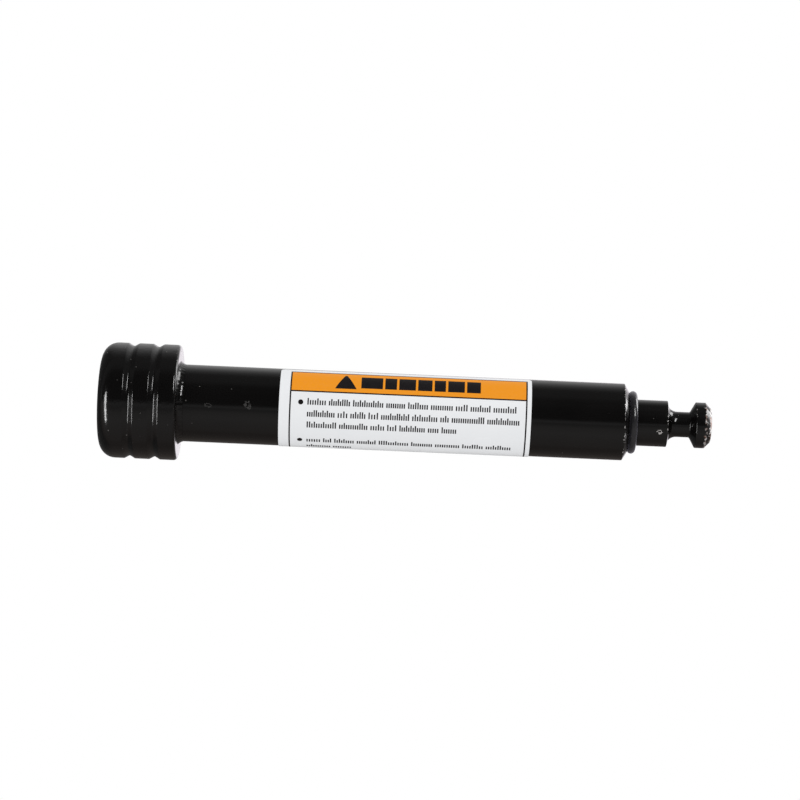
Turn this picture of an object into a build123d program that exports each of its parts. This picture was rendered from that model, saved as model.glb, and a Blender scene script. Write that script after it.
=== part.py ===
from build123d import *
import os
from math import hypot, radians, tan

# The pin of a trailer hitch lock: a round bar with a grooved head at one end and, at the other,
# a thin neck with a locking groove that a separate lock body snaps on to.
#
# Frame, in millimetres: the pin's axis is X, with the locking end towards +X. The origin is on
# the axis, half way along the usable length, which runs from the head's inner face to the
# shank's end face. The printed label faces -Y and up is +Z.

# Shank: the part that fills the hitch's pin hole
shank_diameter = 15.8            # a 5/8 in hitch pin, with the usual undersize
usable_length = 92.0             # head's inner face to the shank's end face
end_chamfer_length = 1.0
end_chamfer_depth = 1.6

# Neck, locking groove and tip: what enters the lock body
neck_diameter = 9.5
neck_length = 8.0
groove_diameter = 5.2
groove_floor_length = 2.65       # between the foot of each flank
groove_back_radius = 2.0         # concave flank on the neck side
groove_front_length = 1.15       # sloping flank on the tip side
groove_front_root_radius = 0.4
tip_diameter = 9.4
tip_length = 1.95
tip_edge_radius = 0.25
nose_length = 1.25               # rounded bevel past the tip's land
nose_face_diameter = 6.8
nose_round_radius = 0.8

# Head: a turned knob, hollow only where it takes the bar
head_diameter = 23.7
head_length = 16.1
head_end_radius = 3.3
head_rim_radius = 0.8
head_groove_offsets = (9.75, 4.65)  # each groove's centre, measured back from the inner face
head_groove_width = 2.2
head_groove_depth = 0.65
head_groove_root_radius = 0.5
head_groove_lip_radius = 0.4

# How the head is held: a turned spigot pressed in, then a weld all round
head_end_wall = 1.7              # solid left in the head past the point of its bore
spigot_step = 0.7                # seat left round the spigot, inside the bar's bevelled edge
spigot_lead = 0.8
bore_end_gap = 0.6               # room past the spigot in the head's blind bore
drill_point_angle = 118.0
weld_width = 1.2                 # along the bar, over its bevelled edge
weld_height = 0.7                # up the head's inner face
weld_root_depth = 0.9            # into the head's face
weld_root_rise = 0.9             # from the bevel's inner edge out to the bottom of the root
weld_hollow = 0.12               # how far the bead's face dips below a straight line

# Rubber ring on the neck, against the shank's end face
ring_section = 1.65
ring_clearance = 0.03            # to the neck and to the end face

# Printed vinyl label, wrapped round the shank
label_start = 20.7               # from the head's inner face
label_length = 51.2
label_thickness = 0.1
label_adhesive = 0.02            # glue line between the film and the bar
label_top_angle = 80.0           # top edge, measured up from the front of the bar
label_wrap_angle = 230.0         # from the top edge, down the front and on under the bar

# Sizes that follow from those above
shank_radius = shank_diameter / 2
shoulder_x = -usable_length / 2
shank_end_x = usable_length / 2
end_face_radius = shank_radius - end_chamfer_depth
neck_radius = neck_diameter / 2
neck_end_x = shank_end_x + neck_length
groove_radius = groove_diameter / 2
groove_back_fillet = min(groove_back_radius, neck_radius - groove_radius - 0.05)
groove_floor_x = neck_end_x + groove_back_fillet
groove_floor_end_x = groove_floor_x + groove_floor_length
tip_radius = tip_diameter / 2
tip_x = groove_floor_end_x + groove_front_length
tip_end_x = tip_x + tip_length
nose_x = tip_end_x + nose_length
head_radius = head_diameter / 2
head_x = shoulder_x - head_length
bevel_radius = shank_radius - weld_width
spigot_radius = bevel_radius - spigot_step
drill_point_depth = spigot_radius / tan(radians(drill_point_angle / 2))
bore_x = head_x + head_end_wall + drill_point_depth
spigot_x = bore_x + bore_end_gap
weld_radius = shank_radius + weld_height
head_end_land = head_length - head_groove_offsets[0] - head_groove_width / 2
head_end_fillet = min(head_end_radius, head_end_land - head_groove_lip_radius)


def turned(outline, radii):
    """A solid of revolution about X from (x, radius) corners and the rounding of each corner."""
    with BuildPart() as solid:
        with BuildSketch(Plane.XY):
            with BuildLine():
                FilletPolyline(*outline, radius=radii, close=True)
            make_face()
        revolve(axis=Axis.X)
    return solid.part


def pin_bar():
    """Drawn bar: spigot, bevelled shank, chamfered end, neck, locking groove and tip."""
    corners = [
        ((spigot_x, 0), 0),
        ((spigot_x, spigot_radius - spigot_lead), 0),
        ((spigot_x + spigot_lead, spigot_radius), 0),
        ((shoulder_x, spigot_radius), 0),
        ((shoulder_x, bevel_radius), 0),
        ((shoulder_x + weld_width, shank_radius), 0),
        ((shank_end_x - end_chamfer_length, shank_radius), 0),
        ((shank_end_x, end_face_radius), 0),
        ((shank_end_x, neck_radius), 0),
        ((neck_end_x, neck_radius), 0),
        ((neck_end_x, groove_radius), groove_back_fillet),
        ((groove_floor_end_x, groove_radius), groove_front_root_radius),
        ((tip_x, tip_radius), 0),
        ((tip_end_x, tip_radius), tip_edge_radius),
        ((nose_x, nose_face_diameter / 2), nose_round_radius),
        ((nose_x, 0), 0),
    ]
    return turned([point for point, _ in corners], [radius for _, radius in corners])


def head_groove(centre_x):
    """The three corners of one rounded V-groove round the head, for its outline."""
    half_width = head_groove_width / 2
    return [
        ((centre_x - half_width, head_radius), head_groove_lip_radius),
        ((centre_x, head_radius - head_groove_depth), head_groove_root_radius),
        ((centre_x + half_width, head_radius), head_groove_lip_radius),
    ]


def pin_head():
    """Turned knob with a rounded outer end, grooves round it and a blind bore for the spigot."""
    corners = [((head_x, 0), 0), ((head_x, head_radius), head_end_fillet)]
    for offset in head_groove_offsets:
        corners += head_groove(shoulder_x - offset)
    corners += [
        ((shoulder_x, head_radius), head_rim_radius),
        ((shoulder_x, weld_radius), 0),
        ((shoulder_x - weld_root_depth, bevel_radius + weld_root_rise), 0),
        ((shoulder_x, bevel_radius), 0),
        ((shoulder_x, spigot_radius), 0),
        ((bore_x, spigot_radius), 0),
        ((bore_x - drill_point_depth, 0), 0),
    ]
    return turned([point for point, _ in corners], [radius for _, radius in corners])


def head_weld():
    """Weld bead: fills the root between the bevelled bar and the head, with a hollow face."""
    on_face = Vector(shoulder_x, weld_radius)
    on_bar = Vector(shoulder_x + weld_width, shank_radius)
    inward = Vector(-weld_height, -weld_width) / hypot(weld_height, weld_width)
    dip = (on_face + on_bar) / 2 + inward * weld_hollow
    with BuildPart() as solid:
        with BuildSketch(Plane.XY):
            with BuildLine():
                ThreePointArc(on_face, dip, on_bar)
                Polyline(
                    on_bar,
                    (shoulder_x, bevel_radius),
                    (shoulder_x - weld_root_depth, bevel_radius + weld_root_rise),
                    on_face,
                )
            make_face()
        revolve(axis=Axis.X)
    return solid.part


def o_ring():
    """Round-section rubber ring, seated on the neck where it meets the shank's end face."""
    section_radius = ring_section / 2
    centre_radius = neck_radius + ring_clearance + section_radius
    centre_x = shank_end_x + ring_clearance + section_radius
    with BuildPart() as solid:
        with BuildSketch(Plane.XY):
            with Locations((centre_x, centre_radius)):
                Circle(section_radius)
        revolve(axis=Axis.X)
    return solid.part


def label():
    """Thin film bent round the shank, open along the back."""
    start_x = shoulder_x + label_start
    inner_radius = shank_radius + label_adhesive
    with BuildPart() as solid:
        with BuildSketch(Plane.XZ):
            with Locations((start_x, inner_radius)):
                Rectangle(label_length, label_thickness, align=(Align.MIN, Align.MIN))
        revolve(axis=Axis.X, revolution_arc=label_wrap_angle)
    # the sweep starts at the top of the bar, so it is turned on to its own starting angle
    return solid.part.rotate(Axis.X, 90 - label_top_angle)


os.makedirs("parts", exist_ok=True)
for make_piece in (pin_bar, pin_head, head_weld, o_ring, label):
    export_step(make_piece(), f"parts/{make_piece.__name__}.step")
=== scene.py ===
import random
from math import atan2, ceil, cos, hypot, pi, radians, sin, tan

import bpy
from mathutils import Matrix, Vector


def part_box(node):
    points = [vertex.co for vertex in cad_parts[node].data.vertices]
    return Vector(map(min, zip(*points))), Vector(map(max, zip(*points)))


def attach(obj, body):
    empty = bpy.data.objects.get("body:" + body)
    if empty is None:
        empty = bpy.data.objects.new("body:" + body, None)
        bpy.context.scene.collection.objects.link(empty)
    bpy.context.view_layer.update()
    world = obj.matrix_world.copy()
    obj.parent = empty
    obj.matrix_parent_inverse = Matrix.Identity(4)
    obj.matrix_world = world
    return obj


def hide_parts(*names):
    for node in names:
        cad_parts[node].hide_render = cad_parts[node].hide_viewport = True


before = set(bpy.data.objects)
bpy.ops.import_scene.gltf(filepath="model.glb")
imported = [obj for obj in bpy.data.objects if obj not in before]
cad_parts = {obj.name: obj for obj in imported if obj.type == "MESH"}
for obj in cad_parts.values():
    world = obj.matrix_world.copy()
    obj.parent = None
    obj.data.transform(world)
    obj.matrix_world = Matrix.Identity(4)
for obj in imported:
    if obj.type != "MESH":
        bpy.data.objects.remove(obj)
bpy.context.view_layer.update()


# ---- Bar --------------------------------------------------------------------------------------
# The pin itself: one length of drawn steel bar, turned down at one end to a neck, a locking
# groove and a tip, and at the other to the spigot that carries the head. It is sprayed with
# black gloss enamel, which has chipped wherever the lock body rubs it.
MM = 0.001
seam_gap = 0.001 * MM
bar_low, bar_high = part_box("pin_bar")
ring_low, ring_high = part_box("o_ring")
head_low, head_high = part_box("pin_head")
weld_low, weld_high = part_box("head_weld")

ring_clearance = 0.03 * MM
shank_radius = bar_high.z
shoulder_x = head_high.x
shank_end_x = ring_low.x - ring_clearance
end_chamfer_length = 1.0 * MM
end_chamfer_depth = 1.6 * MM
end_chamfer_rounding = 0.18 * MM
neck_radius = 4.75 * MM
neck_end_x = shank_end_x + 8.0 * MM
neck_edge_rounding = 0.1 * MM
groove_radius = 2.6 * MM
groove_back_fillet = 2.0 * MM
groove_floor_end_x = neck_end_x + groove_back_fillet + 2.65 * MM
groove_front_fillet = 0.4 * MM
tip_radius = 4.7 * MM
nose_x = bar_high.x
tip_end_x = nose_x - 1.25 * MM
tip_x = tip_end_x - 1.95 * MM
tip_edge_rounding = 0.25 * MM
nose_radius = 3.4 * MM
nose_rounding = 0.8 * MM
weld_toe_x = weld_high.x
bevel_radius = shank_radius - (weld_toe_x - shoulder_x)
spigot_radius = bevel_radius - 0.7 * MM
spigot_lead = 0.8 * MM


def add(tree, kind, inputs=(), **settings):
    """A new node, with its settings and with values or other nodes' outputs for its inputs."""
    node = tree.nodes.new(kind)
    for name, value in settings.items():
        setattr(node, name, value)
    for name, value in dict(inputs).items():
        if isinstance(value, bpy.types.NodeSocket):
            tree.links.new(value, node.inputs[name])
        else:
            node.inputs[name].default_value = value
    return node


def maths(tree, operation, *values):
    """The output of a Math node on numbers or on other nodes' outputs."""
    return add(tree, "ShaderNodeMath", enumerate(values), operation=operation).outputs[0]


def named_inputs(tree, sockets):
    """Gives a tree its named inputs, as (name, kind, value), and returns its input node."""
    for name, kind, value in sockets:
        made = tree.interface.new_socket(name=name, in_out="INPUT", socket_type="NodeSocket" + kind)
        if value is not None:
            made.default_value = value
    return tree.nodes.new("NodeGroupInput")


def turning_tree():
    """Geometry Nodes that turn a piece from its outline, as a lathe does, round the X axis."""
    tree = bpy.data.node_groups.new("turned_round_the_axis", "GeometryNodeTree")
    given = named_inputs(tree, (
        ("Outline", "Geometry", None),
        ("Facets", "Int", 160),
        ("Ripple depth", "Float", 0.0),
        ("Ripple size", "Float", 2 * MM),
        ("Ripple seed", "Float", 0.0),
        ("Scallops", "Float", 0.0),
        ("Scallop depth", "Float", 0.0),
        ("Sharp edge", "Float", radians(30)),
        ("Finish", "Material", None),
    )).outputs
    tree.interface.new_socket(name="Piece", in_out="OUTPUT", socket_type="NodeSocketGeometry")
    index = add(tree, "GeometryNodeInputIndex").outputs[0]
    outline_points = add(tree, "GeometryNodeAttributeDomainSize", {0: given["Outline"]}).outputs[
        "Point Count"]
    grid = add(tree, "GeometryNodeMeshGrid", {
        "Vertices X": maths(tree, "ADD", given["Facets"], 1.0), "Vertices Y": outline_points})
    on_outline = maths(tree, "MODULO", index, outline_points)
    around = maths(tree, "FLOOR", maths(tree, "DIVIDE", maths(tree, "ADD", index, 0.5),
                                        outline_points))
    angle = maths(tree, "MULTIPLY", maths(tree, "DIVIDE", around, given["Facets"]), -2 * pi)
    place = add(tree, "GeometryNodeSampleIndex", {
        "Geometry": given["Outline"], "Index": on_outline,
        "Value": add(tree, "GeometryNodeInputPosition").outputs[0]},
        data_type="FLOAT_VECTOR").outputs[0]
    wear = add(tree, "GeometryNodeSampleIndex", {
        "Geometry": given["Outline"], "Index": on_outline,
        "Value": add(tree, "GeometryNodeInputNamedAttribute", {"Name": "wear"},
                     data_type="FLOAT").outputs[0]}, data_type="FLOAT").outputs[0]
    xyz = add(tree, "ShaderNodeSeparateXYZ", {0: place}).outputs
    scallop = maths(tree, "MULTIPLY", given["Scallop depth"], maths(
        tree, "ABSOLUTE", maths(tree, "SINE", maths(tree, "MULTIPLY", angle, given["Scallops"]))))
    radius = maths(tree, "SUBTRACT", xyz["Z"], scallop)
    turned_to = add(tree, "ShaderNodeCombineXYZ", {
        "X": xyz["X"],
        "Y": maths(tree, "MULTIPLY", radius, maths(tree, "SINE", angle)),
        "Z": maths(tree, "MULTIPLY", radius, maths(tree, "COSINE", angle))}).outputs[0]
    surface = add(tree, "GeometryNodeStoreNamedAttribute", {
        "Geometry": grid.outputs["Mesh"], "Name": "wear", "Value": wear},
        data_type="FLOAT", domain="POINT").outputs[0]
    surface = add(tree, "GeometryNodeSetPosition", {
        "Geometry": surface, "Position": turned_to}).outputs[0]
    surface = add(tree, "GeometryNodeMergeByDistance", {
        "Geometry": surface, "Distance": seam_gap}).outputs[0]
    noise = add(tree, "ShaderNodeTexNoise", {
        "Scale": maths(tree, "DIVIDE", 1.0, given["Ripple size"]), "W": given["Ripple seed"],
        "Detail": 1.0}, noise_dimensions="4D").outputs[0]
    ripple = add(tree, "ShaderNodeVectorMath", {
        0: add(tree, "GeometryNodeInputNormal").outputs[0],
        "Scale": maths(tree, "MULTIPLY", maths(tree, "MULTIPLY", noise, given["Ripple depth"]),
                       -1.0)}, operation="SCALE").outputs[0]
    surface = add(tree, "GeometryNodeSetPosition", {
        "Geometry": surface, "Offset": ripple}).outputs[0]
    surface = add(tree, "GeometryNodeSetShadeSmooth", {
        0: surface, "Shade Smooth": True}, domain="FACE").outputs[0]
    corner = add(tree, "GeometryNodeInputMeshEdgeAngle").outputs["Unsigned Angle"]
    surface = add(tree, "GeometryNodeSetShadeSmooth", {
        0: surface, "Selection": maths(tree, "GREATER_THAN", corner, given["Sharp edge"]),
        "Shade Smooth": False}, domain="EDGE").outputs[0]
    surface = add(tree, "GeometryNodeRealizeInstances", {0: surface}).outputs[0]
    surface = add(tree, "GeometryNodeSetMaterial", {
        "Geometry": surface, "Material": given["Finish"]}).outputs[0]
    add(tree, "NodeGroupOutput", {"Piece": surface})
    return tree


def rounded(corners, arc_step=radians(11)):
    """Points along an outline of ((x, radius), rounding) corners, with arcs in short steps."""
    points = []
    for number, (corner, rounding) in enumerate(corners):
        here = Vector(corner)
        if not rounding:
            points.append(here)
            continue
        back = (Vector(corners[number - 1][0]) - here).normalized()
        on = (Vector(corners[number + 1][0]) - here).normalized()
        turn = pi - back.angle(on)
        centre = here + (back + on).normalized() * rounding / cos(turn / 2)
        start = here + back * rounding * tan(turn / 2) - centre
        side = 1 if on.x * back.y - on.y * back.x > 0 else -1
        steps = max(2, ceil(turn / arc_step))
        points += [centre + Matrix.Rotation(side * turn * step / steps, 2) @ start
                   for step in range(steps + 1)]
    return points


def divided(points, longest):
    """The same outline, with its straight runs divided so that none is longer than that."""
    made = [points[0]]
    for end in points[1:]:
        start = made[-1]
        parts = max(1, ceil((end - start).length / longest))
        made += [start.lerp(end, part / parts) for part in range(1, parts + 1)]
    return made


def as_mesh(piece, modifier):
    """Turns what a piece's modifier makes into its own plain mesh."""
    graph = bpy.context.evaluated_depsgraph_get()
    mesh = bpy.data.meshes.new_from_object(
        piece.evaluated_get(graph), preserve_all_data_layers=True, depsgraph=graph)
    piece.modifiers.remove(modifier)
    finish = mesh.materials[-1]
    mesh.materials.clear()
    mesh.materials.append(finish)
    mesh.polygons.foreach_set("material_index", [0] * len(mesh.polygons))
    piece.data = mesh
    return piece


def noded(name, mesh, tree, inputs):
    """A piece made by a Geometry Nodes tree from a starting mesh and the tree's named inputs."""
    piece = bpy.data.objects.new(name, mesh)
    bpy.context.collection.objects.link(piece)
    modifier = piece.modifiers.new("making", "NODES")
    modifier.node_group = tree
    sockets = {item.name: item.identifier for item in tree.interface.items_tree}
    for socket, value in inputs.items():
        modifier[sockets[socket]] = value
    return as_mesh(piece, modifier)


def turned(name, outline, finish, worn=(), longest=0.8 * MM, **inputs):
    """A turned piece. worn holds the edges that rub, each as (x, radius, amount, reach)."""
    points = divided(outline, longest)
    mesh = bpy.data.meshes.new(name)
    mesh.from_pydata([(x, 0, radius) for x, radius in points],
                     [(number, number + 1) for number in range(len(points) - 1)], [])
    wear = [max([amount * max(0, 1 - hypot(x - edge_x, radius - edge_radius) / reach)
                 for edge_x, edge_radius, amount, reach in worn], default=0)
            for x, radius in points]
    mesh.attributes.new("wear", "FLOAT", "POINT").data.foreach_set("value", wear)
    named = {word.replace("_", " ").capitalize(): value for word, value in inputs.items()}
    return noded(name, mesh, lathe, {"Finish": finish, **named})


def shader_group(name, inputs, outputs):
    """A shader node group with named inputs and outputs: its tree, inputs and output node."""
    tree = bpy.data.node_groups.new(name, "ShaderNodeTree")
    given = named_inputs(tree, inputs).outputs
    for output, kind in outputs:
        tree.interface.new_socket(name=output, in_out="OUTPUT", socket_type="NodeSocket" + kind)
    return tree, given, tree.nodes.new("NodeGroupOutput")


def orange_peel_group():
    """The pebbled skin of a sprayed coat: broad swells with finer grain on them."""
    tree, given, out = shader_group(
        "orange_peel", (("Place", "Vector", None), ("Swell size", "Float", 1.2 * MM),
                        ("Grain size", "Float", 0.3 * MM), ("Grain share", "Float", 0.3)),
        (("Height", "Float"),))
    heights = [add(tree, "ShaderNodeTexNoise", {
        "Vector": given["Place"], "Scale": maths(tree, "DIVIDE", 1.0, given[size]),
        "Detail": 2.0}).outputs[0] for size in ("Swell size", "Grain size")]
    swells, grain = heights
    tree.links.new(maths(tree, "MULTIPLY_ADD", grain, given["Grain share"], swells),
                   out.inputs["Height"])
    return tree


def edge_wear_group():
    """Where the coat has rubbed or chipped away: a ragged mask that follows a wear value."""
    tree, given, out = shader_group(
        "edge_wear", (("Place", "Vector", None), ("Wear", "Float", 0.0),
                      ("Chip size", "Float", 0.5 * MM), ("Sharpness", "Float", 9.0)),
        (("Bare", "Float"), ("Rust", "Float")))
    rust_patch = 0.8 * MM
    rust_starts = 0.47
    rust_full = 0.6
    chips = add(tree, "ShaderNodeTexNoise", {
        "Vector": given["Place"], "Scale": maths(tree, "DIVIDE", 1.0, given["Chip size"]),
        "Detail": 3.0, "Roughness": 0.6}).outputs[0]
    edge = maths(tree, "SUBTRACT", maths(tree, "ADD", chips, given["Wear"]), 1.0)
    bare = add(tree, "ShaderNodeMath", {0: edge, 1: given["Sharpness"]}, operation="MULTIPLY",
               use_clamp=True).outputs[0]
    tree.links.new(bare, out.inputs["Bare"])
    brown = add(tree, "ShaderNodeTexNoise", {
        "Vector": given["Place"], "Scale": 1 / rust_patch, "Detail": 1.0}).outputs[0]
    tree.links.new(add(tree, "ShaderNodeMapRange", {
        "Value": brown, "From Min": rust_starts, "From Max": rust_full}).outputs[0],
        out.inputs["Rust"])
    return tree


# the black enamel uses these specks partly as dust and partly as painted glints
def specks_group():
    """Scattered specks of dust and overspray, sparse and each a different size."""
    tree, given, out = shader_group(
        "specks", (("Place", "Vector", None), ("Spacing", "Float", 1.0 * MM),
                   ("Speck size", "Float", 0.1), ("Share", "Float", 0.2)),
        (("Specks", "Float"),))
    cells = add(tree, "ShaderNodeTexVoronoi", {
        "Vector": given["Place"], "Scale": maths(tree, "DIVIDE", 1.0, given["Spacing"])}).outputs
    chance = add(tree, "ShaderNodeSeparateColor", {0: cells["Color"]}).outputs
    reach = maths(tree, "MULTIPLY", given["Speck size"], chance[1])
    near = maths(tree, "LESS_THAN", cells["Distance"], reach)
    kept = maths(tree, "LESS_THAN", chance[0], given["Share"])
    tree.links.new(maths(tree, "MULTIPLY", near, kept), out.inputs["Specks"])
    return tree


def chip_group():
    """One chip knocked out of the coat on the front of the pin, as a ragged ring of bare edge."""
    tree, given, out = shader_group(
        "chip", (("Place", "Vector", None), ("Centre", "Vector", None),
                 ("Length", "Float", MM), ("Height", "Float", MM), ("Lean", "Float", 0.0)),
        (("Bare", "Float"),))
    ragged_size = 0.35 * MM
    raggedness = 2.1
    ring_middle = 0.8
    ring_half_width = 0.2
    apart = add(tree, "ShaderNodeVectorMath", {0: given["Place"], 1: given["Centre"]},
                operation="SUBTRACT").outputs[0]
    turned_apart = add(tree, "ShaderNodeVectorRotate", {
        "Vector": apart, "Angle": given["Lean"]}, rotation_type="Y_AXIS").outputs[0]
    xyz = add(tree, "ShaderNodeSeparateXYZ", {0: turned_apart}).outputs
    along = maths(tree, "DIVIDE", xyz["X"], maths(tree, "MULTIPLY", given["Length"], 0.5))
    across = maths(tree, "DIVIDE", xyz["Z"], maths(tree, "MULTIPLY", given["Height"], 0.5))
    reach = maths(tree, "SQRT", maths(tree, "ADD", maths(tree, "MULTIPLY", along, along),
                                      maths(tree, "MULTIPLY", across, across)))
    ragged = add(tree, "ShaderNodeTexNoise", {
        "Vector": given["Place"], "Scale": 1 / ragged_size, "Detail": 2.0}).outputs[0]
    reach = maths(tree, "ADD", reach, maths(tree, "MULTIPLY", maths(
        tree, "SUBTRACT", ragged, 0.5), raggedness))
    from_ring = maths(tree, "ABSOLUTE", maths(tree, "SUBTRACT", reach, ring_middle))
    ring = maths(tree, "LESS_THAN", from_ring, ring_half_width)
    front = maths(tree, "LESS_THAN", add(
        tree, "ShaderNodeSeparateXYZ", {0: given["Place"]}).outputs["Y"], 0.0)
    tree.links.new(maths(tree, "MULTIPLY", ring, front), out.inputs["Bare"])
    return tree


def grouped(tree, group, inputs):
    """A shader group placed in a material's tree: its outputs."""
    node = add(tree, "ShaderNodeGroup", node_tree=group)
    for name, value in inputs.items():
        if isinstance(value, bpy.types.NodeSocket):
            tree.links.new(value, node.inputs[name])
        else:
            node.inputs[name].default_value = value
    return node.outputs


def material(name, **sockets):
    """A node material: its tree, its Principled BSDF's inputs and its Object coordinates."""
    made = bpy.data.materials.new(name)
    made.use_nodes = True
    shader = made.node_tree.nodes["Principled BSDF"].inputs
    for socket, value in sockets.items():
        shader[socket.replace("_", " ")].default_value = value
    place = add(made.node_tree, "ShaderNodeTexCoord").outputs["Object"]
    return made, made.node_tree, shader, place


def mixed(tree, share, low, high):
    """A colour between two others, by a mask."""
    return add(tree, "ShaderNodeMix", {0: share, 6: low, 7: high},
               data_type="RGBA").outputs[2]


def black_enamel(name, swell_size, peel_height, roughness, grain_share=0.3, dust_and_glint_share=0.22,
                 chips=()):
    """Black gloss enamel over steel, chipped along its worn edges and at each given chip.

    Each chip is a centre, a length, a height, a lean, and how strongly it shows."""
    deep_black = (0.0016, 0.0014, 0.0014, 1)
    thin_black = (0.0030, 0.0026, 0.0025, 1)
    # grey specks over the black are partly dust and partly painted glints, which stand for the
    # small highlights of the pebbled coat
    dust_and_glint_grey = (0.3, 0.28, 0.27, 1)
    bare_steel = (0.54, 0.52, 0.51, 1)
    rusty_steel = (0.17, 0.075, 0.045, 1)
    dust_and_glint_spacing = 1.3 * MM
    dust_and_glint_size = 0.12
    dust_and_glint_cover = 0.3
    tone_patch = 9 * MM
    tone_dulling = 0.08
    bare_dulling = 0.3
    bare_metallic = 0.5
    coat_step = 0.8
    made, tree, shader, place = material(name, IOR=1.5)
    worn = add(tree, "ShaderNodeAttribute", attribute_name="wear").outputs["Fac"]
    edge = grouped(tree, edge_wear, {"Place": place, "Wear": worn})
    bare = edge["Bare"]
    for centre, length, height, lean, strength in chips:
        chip = grouped(tree, chip_mark, {
            "Place": place, "Centre": centre, "Length": length, "Height": height, "Lean": lean})
        bare = maths(tree, "MAXIMUM", bare, maths(tree, "MULTIPLY", chip["Bare"], strength))
    # the specks' grey goes into the paint's colour below, as dust and as painted glints
    dust_and_glints = grouped(tree, specks, {"Place": place, "Spacing": dust_and_glint_spacing,
                                  "Speck size": dust_and_glint_size, "Share": dust_and_glint_share})["Specks"]
    tone = add(tree, "ShaderNodeTexNoise", {
        "Vector": place, "Scale": 1 / tone_patch}).outputs[0]
    paint = mixed(tree, tone, deep_black, thin_black)
    paint = mixed(tree, maths(tree, "MULTIPLY", dust_and_glints, dust_and_glint_cover), paint, dust_and_glint_grey)
    near_tip = maths(tree, "GREATER_THAN", add(
        tree, "ShaderNodeSeparateXYZ", {0: place}).outputs["X"], tip_x)
    metal = mixed(tree, maths(tree, "MULTIPLY", edge["Rust"], near_tip), bare_steel,
                  rusty_steel)
    tree.links.new(mixed(tree, bare, paint, metal), shader["Base Color"])
    tree.links.new(maths(tree, "MULTIPLY", bare, bare_metallic), shader["Metallic"])
    dull = maths(tree, "MULTIPLY_ADD", tone, tone_dulling, roughness - tone_dulling / 2)
    dull = maths(tree, "MULTIPLY_ADD", bare, bare_dulling, dull)
    tree.links.new(dull, shader["Roughness"])
    peel = grouped(tree, orange_peel, {"Place": place, "Swell size": swell_size,
                                       "Grain share": grain_share})["Height"]
    height = maths(tree, "SUBTRACT", peel, maths(tree, "MULTIPLY", bare, coat_step))
    tree.links.new(add(tree, "ShaderNodeBump", {
        "Height": height, "Distance": peel_height, "Strength": 1.0}).outputs[0], shader["Normal"])
    return made


lathe = turning_tree()
orange_peel = orange_peel_group()
edge_wear = edge_wear_group()
specks = specks_group()
chip_mark = chip_group()

bar_outline = rounded([
    ((bar_low.x, 0), 0),
    ((bar_low.x, spigot_radius - spigot_lead), 0),
    ((bar_low.x + spigot_lead, spigot_radius), 0),
    ((shoulder_x, spigot_radius), 0),
    ((shoulder_x, bevel_radius), 0),
    ((weld_toe_x, shank_radius), 0),
    ((shank_end_x - end_chamfer_length, shank_radius), end_chamfer_rounding),
    ((shank_end_x, shank_radius - end_chamfer_depth), end_chamfer_rounding),
    ((shank_end_x, neck_radius), 0),
    ((neck_end_x, neck_radius), neck_edge_rounding),
    ((neck_end_x, groove_radius), groove_back_fillet),
    ((groove_floor_end_x, groove_radius), groove_front_fillet),
    ((tip_x, tip_radius), tip_edge_rounding),
    ((tip_end_x, tip_radius), tip_edge_rounding),
    ((nose_x, nose_radius), nose_rounding),
    ((nose_x, 0), 0),
])
bar_chips = (
    ((52.3 * MM, 0, -1.35 * MM), 1.15 * MM, 0.7 * MM, radians(-35), 1.0),
    ((-39.6 * MM, 0, 0.3 * MM), 1.6 * MM, 0.8 * MM, radians(-10), 0.05),
    ((-31.6 * MM, 0, 0.7 * MM), 1.6 * MM, 1.2 * MM, radians(-50), 0.08),
)
flank_wear_x = neck_end_x + 0.6 * MM
flank_wear_radius = neck_radius - 1.3 * MM
bar_finish = black_enamel("bar_enamel", 2.4 * MM, 0.007 * MM, 0.15, grain_share=0.4,
                          chips=bar_chips)
bar = turned("pin_bar_painted", bar_outline, bar_finish, worn=(
    (shank_end_x - end_chamfer_length, shank_radius, 0.5, 0.6 * MM),
    (shank_end_x, shank_radius - end_chamfer_depth, 0.36, 0.4 * MM),
    (neck_end_x, neck_radius, 0.52, 0.6 * MM),
    (flank_wear_x, flank_wear_radius, 0.36, 0.8 * MM),
    (tip_x, tip_radius, 0.46, 0.7 * MM),
    (tip_end_x, tip_radius, 0.6, 1.0 * MM),
    (nose_x, nose_radius + 0.3 * MM, 0.74, 1.5 * MM),
    (nose_x, nose_radius - 0.8 * MM, 0.5, 4.0 * MM),
), ripple_depth=0.008 * MM, ripple_size=4 * MM, ripple_seed=1.0)
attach(bar, "pin")
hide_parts("pin_bar")


# ---- Head -------------------------------------------------------------------------------------
# The knob that stops the pin going right through: a turned steel cylinder with a well rounded
# outer end and two finger grooves. It is bored to take the bar's spigot, and it is painted with
# the bar in the same black enamel, which lies thicker and more pebbled here.
head_radius = head_high.z
head_end_rounding = 3.3 * MM
head_rim_rounding = 0.8 * MM
head_groove_offsets = (9.75 * MM, 4.65 * MM)
head_groove_width = 2.2 * MM
head_groove_depth = 0.65 * MM
head_groove_lip = 0.4 * MM
head_groove_root = 0.5 * MM
head_end_wall = 1.7 * MM
drill_point_depth = spigot_radius / tan(radians(118 / 2))
weld_radius = weld_high.z
weld_root_x = weld_low.x
weld_root_radius = bevel_radius + 0.9 * MM

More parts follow.
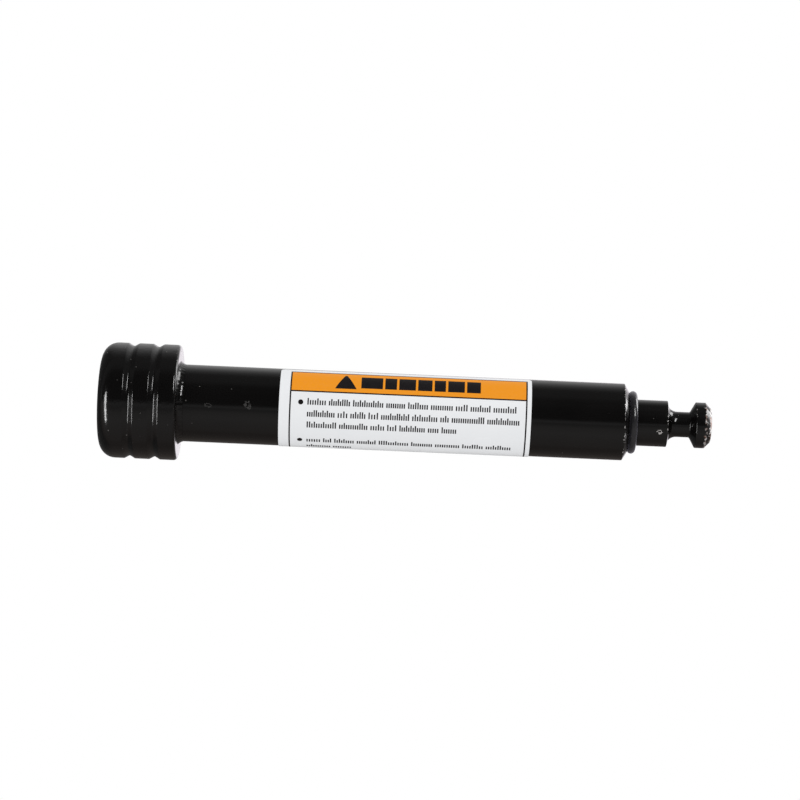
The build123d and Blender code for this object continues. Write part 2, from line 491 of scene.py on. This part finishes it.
head_corners = [((head_low.x, 0), 0), ((head_low.x, head_radius), head_end_rounding)]
for offset in head_groove_offsets:
    groove_x = shoulder_x - offset
    head_corners += [
        ((groove_x - head_groove_width / 2, head_radius), head_groove_lip),
        ((groove_x, head_radius - head_groove_depth), head_groove_root),
        ((groove_x + head_groove_width / 2, head_radius), head_groove_lip),
    ]
head_corners += [
    ((shoulder_x, head_radius), head_rim_rounding),
    ((shoulder_x, weld_radius), 0),
    ((weld_root_x, weld_root_radius), 0),
    ((shoulder_x, bevel_radius), 0),
    ((shoulder_x, spigot_radius), 0),
    ((head_low.x + head_end_wall + drill_point_depth, spigot_radius), 0),
    ((head_low.x + head_end_wall, 0), 0),
]
# the head's larger share of grey specks adds painted glints for the highlights of its thicker
# pebbled coat, on top of dust
head_finish = black_enamel("head_enamel", 1.0 * MM, 0.022 * MM, 0.14, grain_share=0.6,
                           dust_and_glint_share=0.6)
head = turned("pin_head_painted", rounded(head_corners), head_finish, worn=(
    (shoulder_x, head_radius, 0.4, 1.0 * MM),
), longest=0.5 * MM, ripple_depth=0.02 * MM, ripple_size=2.5 * MM, ripple_seed=2.0)
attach(head, "pin")
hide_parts("pin_head")


# ---- Weld -------------------------------------------------------------------------------------
# The bead that fixes the head to the bar, run all the way round in the corner between them.
# It is laid by machine with a slightly hollow, scalloped face, and then painted over.
weld_hollow = 0.12 * MM
on_face = Vector((shoulder_x, weld_radius))
on_bar = Vector((weld_toe_x, shank_radius))
inward = Vector((on_face.y - on_bar.y, on_bar.x - on_face.x)).normalized() * -weld_hollow
weld_face_steps = 6
weld_outline = [
    on_face.lerp(on_bar, step / weld_face_steps)
    + inward * sin(pi * step / weld_face_steps) for step in range(weld_face_steps + 1)]
weld_outline += [Vector((shoulder_x, bevel_radius)), Vector((weld_root_x, weld_root_radius)),
                 on_face]
weld_finish = black_enamel("weld_enamel", 0.7 * MM, 0.02 * MM, 0.14)
weld = turned("head_weld_painted", weld_outline, weld_finish, longest=0.25 * MM, facets=240,
              ripple_depth=0.05 * MM, ripple_size=1.1 * MM, ripple_seed=3.0,
              scallops=24.0, scallop_depth=0.05 * MM)
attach(weld, "pin")
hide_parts("head_weld")


# ---- Rubber ring ------------------------------------------------------------------------------
# The seal that keeps grit out of the lock body: a moulded nitrile ring, pushed on over the tip
# and along the neck to the shank's end face. It has a faint flash line round its outside.
ring_section = (ring_high.x - ring_low.x) / 2
ring_centre = Vector((ring_low.x + ring_section, ring_high.z - ring_section))
flash_height = 0.02 * MM
section_steps = 40
ring_outline = []
for step in range(section_steps + 1):
    angle = 2 * pi * step / section_steps
    reach = ring_section + (flash_height if step == section_steps // 4 else 0)
    ring_outline.append(ring_centre + Vector((-cos(angle), sin(angle))) * reach)

ring_finish, tree, shader, place = material("ring_rubber", IOR=1.62, Sheen_Weight=0.3,
                                            Sheen_Roughness=0.4,
                                            Sheen_Tint=(0.86, 0.82, 1.0, 1.0))
bloom = add(tree, "ShaderNodeTexNoise", {
    "Vector": place, "Scale": 1 / (1.2 * MM), "Detail": 4.0}).outputs[0]
lint = grouped(tree, specks, {"Place": place, "Spacing": 0.8 * MM, "Speck size": 0.16,
                              "Share": 0.3})["Specks"]
rubber = mixed(tree, bloom, (0.006, 0.006, 0.007, 1), (0.016, 0.015, 0.017, 1))
tree.links.new(mixed(tree, maths(tree, "MULTIPLY", lint, 0.35), rubber, (0.3, 0.29, 0.3, 1)),
               shader["Base Color"])
tree.links.new(maths(tree, "MULTIPLY_ADD", bloom, 0.2, 0.14), shader["Roughness"])
skin = grouped(tree, orange_peel, {"Place": place, "Swell size": 0.9 * MM,
                                   "Grain size": 0.2 * MM})["Height"]
tree.links.new(add(tree, "ShaderNodeBump", {
    "Height": skin, "Distance": 0.012 * MM, "Strength": 1.0}).outputs[0], shader["Normal"])
ring = turned("rubber_ring", ring_outline, ring_finish, longest=0.3 * MM,
              ripple_depth=0.01 * MM, ripple_size=1.5 * MM, ripple_seed=4.0,
              sharp_edge=radians(60))
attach(ring, "seal")
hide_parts("o_ring")


# ---- Label film -------------------------------------------------------------------------------
# A white vinyl label with rounded corners, stuck round the shank from its top, down the front
# and on underneath. Its edges stand up by the film's own thickness.
label_low, label_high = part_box("label")
label_glue = 0.02 * MM
film_radius = shank_radius + label_glue
film_thickness = -label_low.y - film_radius
label_top = radians(80)
label_wrap = radians(230)
label_bottom = label_top - label_wrap
film_corner = 1.0 * MM


def wrapping_tree():
    """Geometry Nodes that thicken a flat sheet and wrap it round the bar.

    The sheet lies in X and Y: X runs along the bar, and Y is the length of arc up from the
    front. Its thickness goes outwards from the given radius."""
    tree = bpy.data.node_groups.new("wrapped_round_the_bar", "GeometryNodeTree")
    given = named_inputs(tree, (
        ("Sheet", "Geometry", None),
        ("Radius", "Float", 8 * MM),
        ("Thickness", "Float", 0.1 * MM),
        ("Finish", "Material", None),
    )).outputs
    tree.interface.new_socket(name="Piece", in_out="OUTPUT", socket_type="NodeSocketGeometry")
    upper = add(tree, "GeometryNodeExtrudeMesh", {
        "Mesh": given["Sheet"], "Individual": False,
        "Offset": add(tree, "ShaderNodeCombineXYZ", {"Z": given["Thickness"]}).outputs[0]}).outputs[
        "Mesh"]
    under = add(tree, "GeometryNodeFlipFaces", {0: given["Sheet"]}).outputs[0]
    both = add(tree, "GeometryNodeJoinGeometry")
    tree.links.new(upper, both.inputs[0])
    tree.links.new(under, both.inputs[0])
    closed = add(tree, "GeometryNodeMergeByDistance", {
        "Geometry": both.outputs[0], "Distance": seam_gap / 2}).outputs[0]
    flat = add(tree, "ShaderNodeSeparateXYZ", {
        0: add(tree, "GeometryNodeInputPosition").outputs[0]}).outputs
    angle = maths(tree, "DIVIDE", flat["Y"], given["Radius"])
    radius = maths(tree, "ADD", given["Radius"], flat["Z"])
    wrapped_to = add(tree, "ShaderNodeCombineXYZ", {
        "X": flat["X"],
        "Y": maths(tree, "MULTIPLY", maths(tree, "MULTIPLY", radius, -1.0),
                   maths(tree, "COSINE", angle)),
        "Z": maths(tree, "MULTIPLY", radius, maths(tree, "SINE", angle))}).outputs[0]
    wrapped_sheet = add(tree, "GeometryNodeSetPosition", {
        "Geometry": closed, "Position": wrapped_to}).outputs[0]
    wrapped_sheet = add(tree, "GeometryNodeSetShadeSmooth", {
        0: wrapped_sheet, "Shade Smooth": True}, domain="FACE").outputs[0]
    corner = add(tree, "GeometryNodeInputMeshEdgeAngle").outputs["Unsigned Angle"]
    wrapped_sheet = add(tree, "GeometryNodeSetShadeSmooth", {
        0: wrapped_sheet, "Selection": maths(tree, "GREATER_THAN", corner, radians(40)),
        "Shade Smooth": False}, domain="EDGE").outputs[0]
    wrapped_sheet = add(tree, "GeometryNodeRealizeInstances", {0: wrapped_sheet}).outputs[0]
    wrapped_sheet = add(tree, "GeometryNodeSetMaterial", {
        "Geometry": wrapped_sheet, "Material": given["Finish"]}).outputs[0]
    add(tree, "NodeGroupOutput", {"Piece": wrapped_sheet})
    return tree


def flat_sheet(low, high, corner=0.0, taper=0.0, step=0.35 * MM):
    """Points and faces of a flat sheet between two corners, with rounded corners or a taper.

    A taper of 1 draws the sheet's top edge in to a point, which leaves a triangle."""
    columns = [low[0], high[0]]
    if corner:
        inset = [corner * (1 - cos(radians(angle))) for angle in range(0, 91, 15)]
        columns = [low[0] + x for x in inset] + [high[0] - x for x in reversed(inset)]
    rows = max(2, ceil((high[1] - low[1]) / step))
    middle = (low[0] + high[0]) / 2
    points = []
    for x in columns:
        into_corner = max(0, low[0] + corner - x, x - high[0] + corner)
        cut = corner - max(0, corner ** 2 - into_corner ** 2) ** 0.5
        for row in range(rows + 1):
            y = low[1] + cut + (high[1] - low[1] - 2 * cut) * row / rows
            points.append((middle + (x - middle) * (1 - taper * row / rows), y, 0))
    faces = [(first, first + rows + 1, first + rows + 2, first + 1)
             for column in range(len(columns) - 1)
             for first in range(column * (rows + 1), column * (rows + 1) + rows)]
    return points, faces


def flat_frame(low, high, width, bar):
    """Points and faces of a flat frame, with one more bar across it, given as (bottom, top)."""
    columns = [low[0], low[0] + width, high[0] - width, high[0]]
    full = ((low[1], low[1] + width), bar, (high[1] - width, high[1]))
    levels = sorted(y for span in full for y in span)
    rows = [levels[0]]
    for level in levels[1:]:
        parts = ceil((level - rows[-1]) / (0.35 * MM))
        rows += [rows[-1] + (level - rows[-1]) * part / parts for part in range(1, parts + 1)]
    points = [(x, y, 0) for x in columns for y in rows]
    faces = []
    for column in range(3):
        for row in range(len(rows) - 1):
            middle = (rows[row] + rows[row + 1]) / 2
            if column != 1 or any(bottom < middle < top for bottom, top in full):
                first = column * len(rows) + row
                faces.append((first, first + len(rows), first + len(rows) + 1, first + 1))
    return points, faces


def flat_mesh(name, *sheets):
    """One mesh of several flat sheets."""
    points, faces = [], []
    for sheet_points, sheet_faces in sheets:
        faces += [tuple(len(points) + corner for corner in face) for face in sheet_faces]
        points += sheet_points
    used = sorted({corner for face in faces for corner in face})
    order = {corner: number for number, corner in enumerate(used)}
    mesh = bpy.data.meshes.new(name)
    mesh.from_pydata([points[corner] for corner in used], [],
                     [tuple(order[corner] for corner in face) for face in faces])
    return mesh


wrapping = wrapping_tree()
film_finish, tree, shader, place = material("label_vinyl", IOR=1.4)
clouds = add(tree, "ShaderNodeTexNoise", {
    "Vector": place, "Scale": 1 / (7 * MM), "Detail": 3.0}).outputs[0]
tree.links.new(mixed(tree, clouds, (0.80, 0.815, 0.835, 1), (0.86, 0.87, 0.885, 1)),
               shader["Base Color"])
tree.links.new(maths(tree, "MULTIPLY_ADD", clouds, 0.12, 0.2), shader["Roughness"])
stretch = grouped(tree, orange_peel, {"Place": place, "Swell size": 3.0 * MM,
                                      "Grain size": 0.4 * MM, "Grain share": 0.08})["Height"]
tree.links.new(add(tree, "ShaderNodeBump", {
    "Height": stretch, "Distance": 0.008 * MM, "Strength": 1.0}).outputs[0], shader["Normal"])
film = noded("label_film", flat_mesh("label_film", flat_sheet(
    (label_low.x, label_bottom * film_radius), (label_high.x, label_top * film_radius),
    corner=film_corner)), wrapping,
    {"Radius": film_radius, "Thickness": film_thickness, "Finish": film_finish})
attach(film, "pin")
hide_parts("label")


# ---- Label print ------------------------------------------------------------------------------
# Screen-printed ink on the film: a black border, an orange band with a plain triangle and a
# heading of blank blocks, then bulleted lines of strokes that only stand for small print.
ink_radius = film_radius + film_thickness
ink_thickness = 0.01 * MM
line_width = 0.3 * MM
border_left = label_low.x + 2.1 * MM
border_right = label_high.x - 0.85 * MM
border_top = radians(71) * ink_radius
border_bottom = radians(-138) * ink_radius
band_bottom = radians(31) * ink_radius


def ink(name, colour, mottle):
    """Printed ink of one colour, a little uneven where the screen laid it thinner."""
    made, tree, shader, place = material(name, IOR=1.38)
    thin = add(tree, "ShaderNodeTexNoise", {
        "Vector": place, "Scale": 1 / (0.5 * MM), "Detail": 3.0}).outputs[0]
    paler = tuple(min(1, part + mottle) for part in colour)
    tree.links.new(mixed(tree, thin, (*colour, 1), (*paler, 1)), shader["Base Color"])
    tree.links.new(maths(tree, "MULTIPLY_ADD", thin, 0.1, 0.2), shader["Roughness"])
    return made


def printed(name, finish, sheets, lift=0.0, tree=None, **inputs):
    """Ink printed on the film, or on ink already there when it is lifted."""
    piece = noded(name, flat_mesh(name, *sheets), tree or wrapping, {
        "Radius": ink_radius + lift, "Thickness": ink_thickness, "Finish": finish, **inputs})
    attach(piece, "pin")
    return piece


black_ink = ink("label_black_ink", (0.007, 0.005, 0.006), 0.006)
orange_ink = ink("label_orange_ink", (0.86, 0.295, 0.001), 0.015)

printed("label_border", black_ink, (flat_frame(
    (border_left, border_bottom), (border_right, border_top), line_width,
    (band_bottom - line_width, band_bottom)),))
printed("label_band", orange_ink, (
    flat_sheet((border_left + line_width, band_bottom),
               (border_right - line_width, border_top - line_width)),
))

sign_left = shoulder_x + 31.9 * MM
sign_right = shoulder_x + 36.3 * MM
sign_bottom = radians(36.5) * ink_radius
sign_top = radians(64) * ink_radius
heading_left = shoulder_x + 37.2 * MM
heading_widths = (4.4, 2.4, 3.4, 2.9, 2.3, 3.4, 2.8)
heading_gap = 0.45 * MM
heading_bottom = radians(38.5) * ink_radius
heading_top = radians(61.5) * ink_radius
heading_blocks = []
for width in heading_widths:
    heading_blocks.append(flat_sheet((heading_left, heading_bottom),
                                     (heading_left + width * MM, heading_top)))
    heading_left += width * MM + heading_gap
printed("label_sign", black_ink, (
    flat_sheet((sign_left, sign_bottom), (sign_right, sign_top), taper=0.92),
    *heading_blocks,
), lift=ink_thickness)


def small_print_tree():
    """Geometry Nodes that set strokes of uneven height along each word's line, then wrap them."""
    tree = bpy.data.node_groups.new("small_print", "GeometryNodeTree")
    given = named_inputs(tree, (
        ("Words", "Geometry", None),
        ("Stroke spacing", "Float", 0.44 * MM),
        ("Stroke width", "Float", 0.27 * MM),
        ("Low height", "Float", 0.95 * MM),
        ("Tall height", "Float", 1.35 * MM),
        ("Seed", "Int", 7),
        ("Radius", "Float", 8 * MM),
        ("Thickness", "Float", 0.01 * MM),
        ("Finish", "Material", None),
    )).outputs
    tree.interface.new_socket(name="Piece", in_out="OUTPUT", socket_type="NodeSocketGeometry")
    words = add(tree, "GeometryNodeMeshToCurve", {0: given["Words"]}).outputs[0]
    spots = add(tree, "GeometryNodeResampleCurve", {
        "Curve": words, "Length": given["Stroke spacing"]}, mode="LENGTH").outputs[0]
    chance = add(tree, "FunctionNodeRandomValue", {
        2: 0.0, 3: 1.0, "Seed": given["Seed"]}, data_type="FLOAT").outputs[1]
    tall = maths(tree, "GREATER_THAN", chance, 0.7)
    height = maths(tree, "MULTIPLY_ADD", tall, maths(
        tree, "SUBTRACT", given["Tall height"], given["Low height"]), given["Low height"])
    stroke = add(tree, "GeometryNodeMeshGrid", {
        "Size X": 1.0, "Size Y": 1.0, "Vertices X": 2, "Vertices Y": 4}).outputs["Mesh"]
    stroke = add(tree, "GeometryNodeTransform", {
        "Geometry": stroke, "Translation": (0.0, 0.5, 0.0)}).outputs[0]
    strokes = add(tree, "GeometryNodeInstanceOnPoints", {
        "Points": spots, "Instance": stroke,
        "Scale": add(tree, "ShaderNodeCombineXYZ", {
            "X": given["Stroke width"], "Y": height, "Z": 1.0}).outputs[0]}).outputs[0]
    flat = add(tree, "GeometryNodeRealizeInstances", {0: strokes}).outputs[0]
    wrapped = add(tree, "GeometryNodeGroup", node_tree=wrapping)
    tree.links.new(flat, wrapped.inputs["Sheet"])
    for name in ("Radius", "Thickness", "Finish"):
        tree.links.new(given[name], wrapped.inputs[name])
    realized = add(tree, "GeometryNodeRealizeInstances", {0: wrapped.outputs[0]}).outputs[0]
    finished = add(tree, "GeometryNodeSetMaterial", {
        "Geometry": realized, "Material": given["Finish"]}).outputs[0]
    add(tree, "NodeGroupOutput", {"Piece": finished})
    return tree


def word_lines(lines, left, low_height, seed):
    """The mesh of every printed line: one short edge for each word, of a random length."""
    chances = random.Random(seed)
    points, edges = [], []
    for angle, line_length in lines:
        words = [chances.uniform(1.3, 7.0) for _ in range(round(line_length / (4.6 * MM)))]
        gaps = word_gap * (len(words) - 1)
        stretch = (line_length - gaps) / sum(words)
        x = left
        y = radians(angle) * ink_radius - low_height / 2
        for word in words:
            edges.append((len(points), len(points) + 1))
            points += [(x, y, 0), (x + word * stretch, y, 0)]
            x += word * stretch + word_gap
    mesh = bpy.data.meshes.new("label_text")
    mesh.from_pydata(points, edges, [])
    return mesh


small_print = small_print_tree()
text_left = shoulder_x + 26.6 * MM
word_gap = 0.9 * MM
text_lines = ((13, 42.1 * MM), (-4.4, 42.8 * MM), (-21.4, 30.1 * MM), (-50, 41.3 * MM),
              (-67.5, 8.8 * MM), (-96, 40.2 * MM), (-113, 25.0 * MM))
bullet_x = shoulder_x + 25.1 * MM
bullet_radius = 0.53 * MM
bullet_angles = (13, -49, -96)
text = noded("label_text", word_lines(text_lines, text_left, 0.95 * MM, 11), small_print, {
    "Radius": ink_radius, "Thickness": ink_thickness, "Finish": black_ink})
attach(text, "pin")
printed("label_bullets", black_ink, [
    flat_sheet((bullet_x - bullet_radius, radians(angle) * ink_radius - bullet_radius),
               (bullet_x + bullet_radius, radians(angle) * ink_radius + bullet_radius),
               corner=bullet_radius) for angle in bullet_angles])


# ---- Floor ------------------------------------------------------------------------------------
# A plain pale sweep. The pin lies on the rim of its head and on the far end of its shank, so
# the floor slopes a little in the pin's own frame.
rests_at = (Vector((shoulder_x - head_rim_rounding, 0, -head_radius)),
            Vector((shank_end_x - end_chamfer_length, 0, -shank_radius)))
floor_slope = atan2(rests_at[1].z - rests_at[0].z, rests_at[1].x - rests_at[0].x)
floor_frame = Matrix.Translation(rests_at[0]) @ Matrix.Rotation(-floor_slope, 4, "Y")
bpy.ops.mesh.primitive_plane_add(size=8)
floor = bpy.context.object
floor.name = "floor"
floor.data.transform(floor_frame)
floor_finish = bpy.data.materials.new("pale_floor")
floor_finish.use_nodes = True
tree = floor_finish.node_tree
tree.nodes.clear()
to_camera = add(tree, "ShaderNodeLightPath").outputs["Is Camera Ray"]
seen = add(tree, "ShaderNodeEmission", {"Color": (1, 1, 1, 1), "Strength": 1.0}).outputs[0]
clear = add(tree, "ShaderNodeBsdfTransparent").outputs[0]
add(tree, "ShaderNodeOutputMaterial", {
    "Surface": add(tree, "ShaderNodeMixShader", {0: to_camera, 1: clear, 2: seen}).outputs[0]})
floor.data.materials.append(floor_finish)


# ---- Light ------------------------------------------------------------------------------------
# Three soft boxes, which show as streaks along the rounded edges, in a room whose ceiling and
# front are dim, whose floor is mid grey and whose sweep is white behind the pin, but for its far
# left. The camera and the even light that falls on the pin see a plain white room instead.
up = floor_frame.to_3x3() @ Vector((0, 0, 1))
along = floor_frame.to_3x3() @ Vector((1, 0, 0))


def soft_box(name, azimuth, elevation, width, height, radiance, distance=0.7):
    """A rectangular soft box that faces the pin from a direction given from the front."""
    flat = Vector((0, -1, 0)) * cos(radians(azimuth)) + along * sin(radians(azimuth))
    direction = flat * cos(radians(elevation)) + up * sin(radians(elevation))
    light = bpy.data.lights.new(name, "AREA")
    light.shape = "RECTANGLE"
    light.size = width
    light.size_y = height
    light.energy = radiance * pi * width * height
    lamp = bpy.data.objects.new(name, light)
    lamp.matrix_world = Matrix.Translation(direction * distance) @ direction.to_track_quat(
        "Z", "Y").to_matrix().to_4x4()
    lamp.visible_diffuse = False
    lamp.visible_camera = False
    bpy.context.collection.objects.link(lamp)


soft_box("left_box", azimuth=-55, elevation=-8, width=0.12, height=0.58, radiance=16)
soft_box("right_box", azimuth=42, elevation=37, width=0.11, height=0.34, radiance=19)
soft_box("rim_box", azimuth=118, elevation=12, width=0.30, height=0.70, radiance=5.5)

world = bpy.data.worlds.new("studio")
bpy.context.scene.world = world
world.use_nodes = True
tree = world.node_tree
tree.nodes.clear()
direction = add(tree, "ShaderNodeSeparateXYZ", {
    0: add(tree, "ShaderNodeTexCoord").outputs["Generated"]}).outputs
over_the_top = maths(tree, "ARCTAN2", direction["Z"],
                     maths(tree, "MULTIPLY", direction["Y"], -1.0))
share = maths(tree, "MULTIPLY_ADD", over_the_top, 1 / (2 * pi), 0.5)
room = add(tree, "ShaderNodeValToRGB", {0: share})
# each angle is measured from the front, up over the top (+) or down underneath (-), and has
# its brightness and how warm it is
stops = ((-180, 0.12, 0.0), (-135, 0.13, 0.02), (-92, 0.14, 0.02), (-80, 0.21, 0.02),
         (-38, 0.31, 0.01), (-20, 0.27, 0.01), (-9, 0.14, 0.0), (-3, 0.30, 0.0),
         (3, 0.03, 0.0), (36, 0.025, 0.0), (60, 0.04, 0.0), (76, 0.12, 0.0),
         (102, 0.12, 0.0), (116, 0.28, 0.0), (140, 0.68, 0.0), (165, 0.60, 0.0),
         (180, 0.30, 0.0))
ramp = room.color_ramp.elements
while len(ramp) < len(stops):
    ramp.new(0.5)
for stop, (angle, bright, warm) in zip(ramp, stops):
    stop.position = angle / 360 + 0.5
    stop.color = (bright + warm, bright, bright - warm / 2, 1)
dim_grey = (0.07, 0.07, 0.07, 1)
sweep_white = (1.45, 1.38, 1.45, 1)
plain_white = (1, 1, 1, 1)
far_left = add(tree, "ShaderNodeMapRange", {
    "Value": direction["X"], "From Min": -0.1, "From Max": -0.5}).outputs[0]
at_the_back = maths(tree, "GREATER_THAN", direction["Y"], 0.1)
room = mixed(tree, maths(tree, "MULTIPLY", far_left, at_the_back), room.outputs[0],
             dim_grey)
low_down = add(tree, "ShaderNodeMapRange", {
    "Value": maths(tree, "ABSOLUTE", direction["Z"]), "From Min": 0.12, "From Max": 0.3,
    "To Min": 1.0, "To Max": 0.0}, interpolation_type="SMOOTHSTEP").outputs[0]
to_the_right = add(tree, "ShaderNodeMapRange", {
    "Value": direction["X"], "From Min": -0.06, "From Max": 0.04}).outputs[0]
behind = maths(tree, "GREATER_THAN", direction["Y"], 0.2)
sweep = maths(tree, "MULTIPLY", maths(tree, "MULTIPLY", low_down, to_the_right), behind)
room = mixed(tree, sweep, room, sweep_white)
even = add(tree, "ShaderNodeMapRange", {
    "Value": direction["Z"], "From Min": -1.0, "From Max": 0.0, "To Min": 0.84,
    "To Max": 1.04}).outputs[0]
even = add(tree, "ShaderNodeCombineColor", {0: even, 1: even, 2: even}).outputs[0]
path = add(tree, "ShaderNodeLightPath").outputs
seen = mixed(tree, path["Is Glossy Ray"], even, room)
seen = mixed(tree, path["Is Camera Ray"], seen, plain_white)
add(tree, "ShaderNodeOutputWorld", {
    "Surface": add(tree, "ShaderNodeBackground", {"Color": seen}).outputs[0]})
bpy.context.scene.view_settings.view_transform = "Standard"


# ---- Camera -----------------------------------------------------------------------------------
# A long lens from the front, a few degrees above the pin, level with the floor.
camera_distance = 0.6
camera_yaw = radians(0.5)
camera_elevation = radians(4.0)
camera_lens = 131.55
aim = Vector((-0.86 * MM, 0, 2.52 * MM))
towards = -(Matrix.Rotation(camera_yaw, 3, up) @ Vector((0, 1, 0)))
towards = Matrix.Rotation(-camera_elevation, 3, up.cross(towards)) @ towards
right = up.cross(towards).normalized()
camera_up = towards.cross(right).normalized()
camera = bpy.data.objects.new("camera", bpy.data.cameras.new("camera"))
bpy.context.collection.objects.link(camera)
camera.data.lens = camera_lens
camera.matrix_world = Matrix.Translation(aim + towards * camera_distance) @ Matrix(
    (right, camera_up, towards)).transposed().to_4x4()
bpy.context.scene.camera = camera
